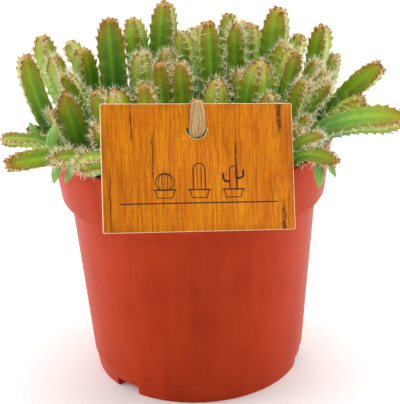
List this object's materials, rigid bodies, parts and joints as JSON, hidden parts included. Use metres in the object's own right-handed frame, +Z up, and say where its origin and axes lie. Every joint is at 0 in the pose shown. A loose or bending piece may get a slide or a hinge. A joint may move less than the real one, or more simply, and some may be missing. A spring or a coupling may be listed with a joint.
{
  "type": "potted dragon fruit cactus",
  "caption": "Crowd of young ribbed cactus stems with fine needles in a round nursery pot of soil, with a wood-print card hung in front on a raffia band.",
  "frame": {"origin": "on the pot's axis, at ground level under the middle of the pot's underside", "axes": "+Z up along the pot's axis, -Y towards the front where the card hangs, +X to the right seen from the front"},
  "size_m": [0.1793, 0.1544, 0.1746],
  "materials": {
    "pot_plastic": "satin terracotta-coloured moulded plastic",
    "peat": "dark moist crumbly peat",
    "stem_skin": "waxy green skin, orange-brown along the rib crests and tips",
    "card_print": "satin wood-grain print on thin board",
    "raffia": "dry fibrous raffia"
  },
  "bodies": {
    "root": {"pot": "pot_plastic", "soil": "peat", "stem_01": "stem_skin", "stem_02": "stem_skin", "stem_03": "stem_skin", "stem_04": "stem_skin", "stem_05": "stem_skin", "stem_06": "stem_skin", "stem_07": "stem_skin", "stem_08": "stem_skin", "stem_09": "stem_skin", "stem_10": "stem_skin", "stem_11": "stem_skin", "stem_12": "stem_skin", "stem_13": "stem_skin", "stem_14": "stem_skin", "stem_15": "stem_skin", "stem_16": "stem_skin", "stem_17": "stem_skin", "stem_18": "stem_skin", "stem_19": "stem_skin", "stem_20": "stem_skin", "stem_21": "stem_skin", "stem_22": "stem_skin", "stem_23": "stem_skin", "stem_24": "stem_skin", "stem_25": "stem_skin", "stem_26": "stem_skin", "stem_27": "stem_skin", "stem_28": "stem_skin", "stem_29": "stem_skin", "stem_30": "stem_skin", "stem_31": "stem_skin", "stem_32": "stem_skin", "stem_33": "stem_skin", "stem_34": "stem_skin", "stem_35": "stem_skin", "stem_36": "stem_skin", "stem_37": "stem_skin", "stem_38": "stem_skin", "stem_39": "stem_skin", "stem_40": "stem_skin", "stem_41": "stem_skin", "stem_42": "stem_skin", "stem_43": "stem_skin", "stem_44": "stem_skin", "stem_45": "stem_skin", "stem_46": "stem_skin", "stem_47": "stem_skin", "stem_48": "stem_skin", "stem_49": "stem_skin", "stem_50": "stem_skin", "stem_51": "stem_skin", "stem_52": "stem_skin", "stem_53": "stem_skin", "stem_54": "stem_skin", "stem_55": "stem_skin", "label_card": "card_print", "label_band": "raffia"}
  },
  "joints": []
}
